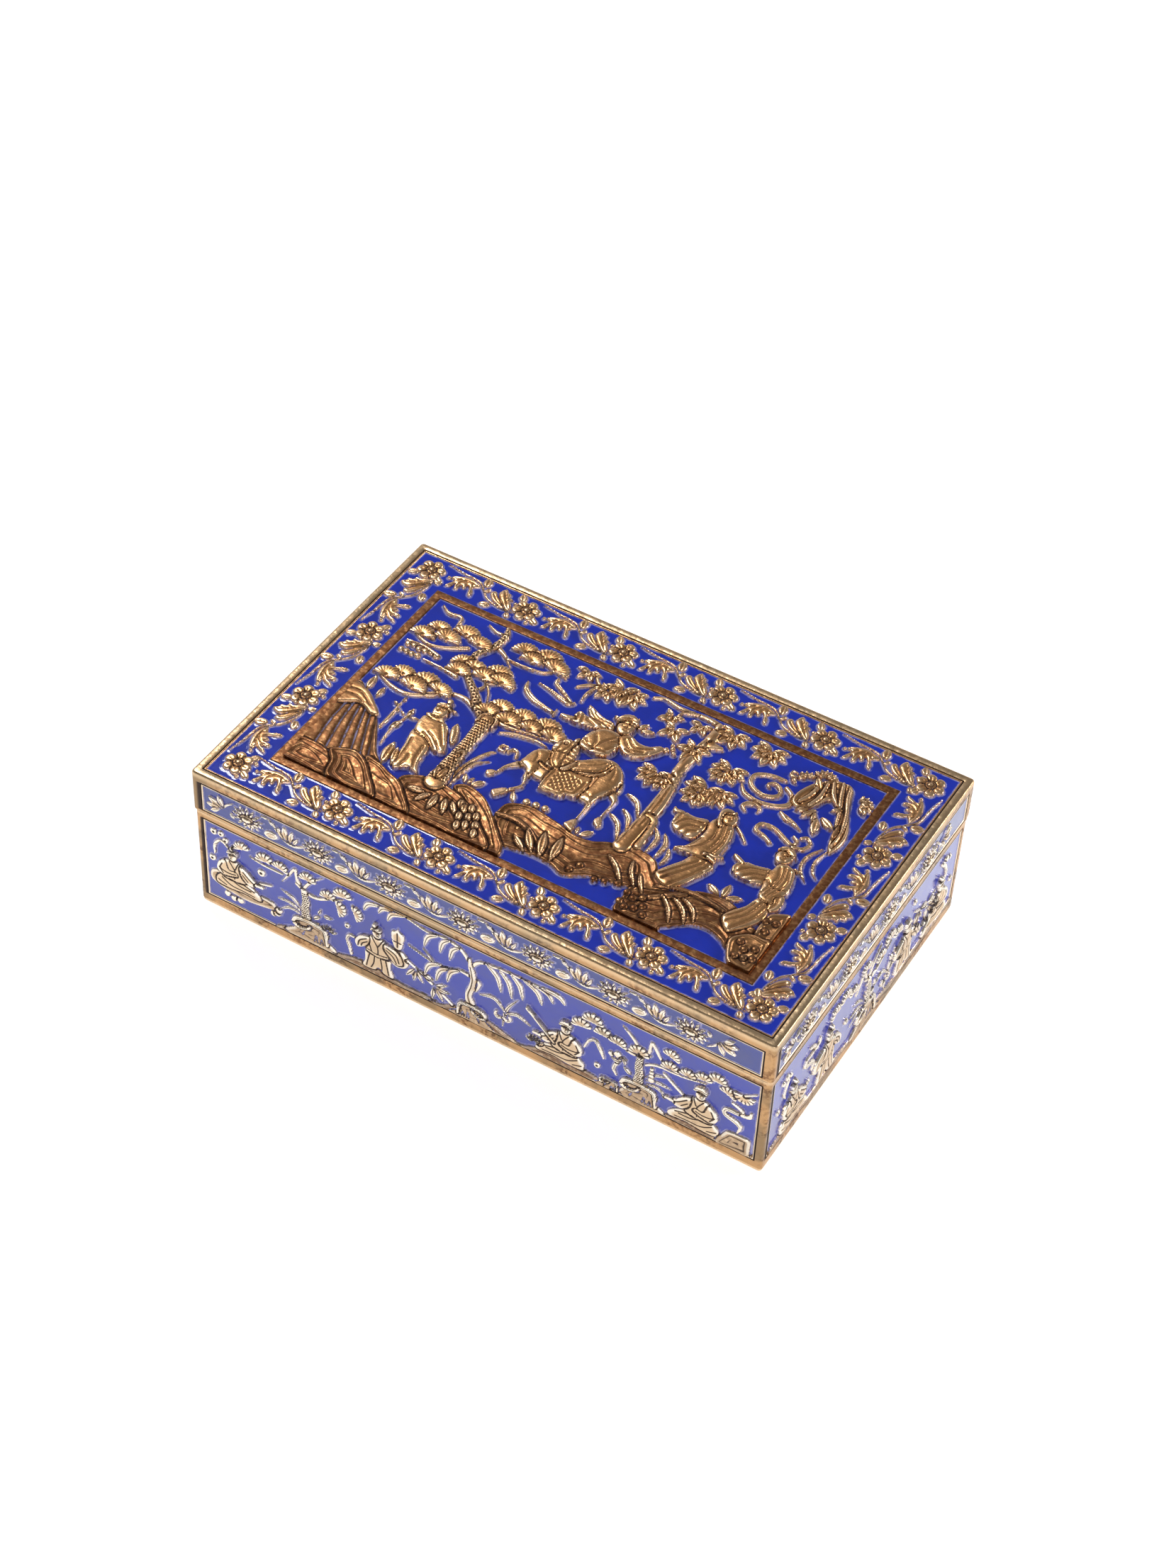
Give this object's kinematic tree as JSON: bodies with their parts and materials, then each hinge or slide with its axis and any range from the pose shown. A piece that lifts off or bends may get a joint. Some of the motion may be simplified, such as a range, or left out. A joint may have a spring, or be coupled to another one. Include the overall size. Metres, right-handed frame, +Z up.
{
  "type": "enamel box",
  "caption": "Rectangular hinged keepsake box of gilt metal with blue enamelled relief plaques and a wood lining.",
  "frame": {"origin": "middle of the footprint, on the surface that the box stands on", "axes": "+X along the front to the right, +Y to the hinged back, +Z up"},
  "size_m": [0.1512, 0.0968, 0.0445],
  "materials": {
    "gilt_frame": "satin antique gilt, tarnished brown in the crevices",
    "gilt_relief": "worn bright gilt relief with brown patina in the hollows",
    "blue_enamel": "glossy deep blue vitreous enamel, opaque from a step away",
    "lining_wood": "plain satin camphor-coloured wood",
    "pin_brass": "plain drawn wire"
  },
  "bodies": {
    "base": {"base_front_wall": "gilt_frame", "base_front_plaque": "gilt_relief", "base_front_enamel": "blue_enamel", "base_right_wall": "gilt_frame", "base_right_plaque": "gilt_relief", "base_right_enamel": "blue_enamel", "base_rear_wall": "gilt_frame", "base_rear_plaque": "gilt_relief", "base_rear_enamel": "blue_enamel", "base_left_wall": "gilt_frame", "base_left_plaque": "gilt_relief", "base_left_enamel": "blue_enamel", "base_lining_board": "lining_wood", "base_lining_front": "lining_wood", "base_lining_rear": "lining_wood", "base_lining_left": "lining_wood", "base_lining_right": "lining_wood", "base_bottom_plate": "gilt_frame", "base_knuckle_1": "gilt_frame", "base_knuckle_3": "gilt_frame", "base_knuckle_5": "gilt_frame", "base_knuckle_7": "gilt_frame", "hinge_pin": "pin_brass"},
    "lid": {"lid_front_wall": "gilt_frame", "lid_front_plaque": "gilt_relief", "lid_front_enamel": "blue_enamel", "lid_right_wall": "gilt_frame", "lid_right_plaque": "gilt_relief", "lid_right_enamel": "blue_enamel", "lid_rear_wall": "gilt_frame", "lid_rear_plaque": "gilt_relief", "lid_rear_enamel": "blue_enamel", "lid_left_wall": "gilt_frame", "lid_left_plaque": "gilt_relief", "lid_left_enamel": "blue_enamel", "lid_lining_board": "lining_wood", "lid_lining_front": "lining_wood", "lid_lining_rear": "lining_wood", "lid_lining_left": "lining_wood", "lid_lining_right": "lining_wood", "lid_top_plate": "gilt_frame", "lid_top_plaque": "gilt_relief", "lid_border_enamel": "blue_enamel", "lid_scene_enamel": "blue_enamel", "lid_knuckle_2": "gilt_frame", "lid_knuckle_4": "gilt_frame", "lid_knuckle_6": "gilt_frame"}
  },
  "joints": [
    {"name": "lid_hinge", "type": "hinge", "parent": "base", "child": "lid", "pos_m": [0, 0.047, 0.03115], "axis": [-1, 0, 0], "range_deg": [0, 105]}
  ]
}
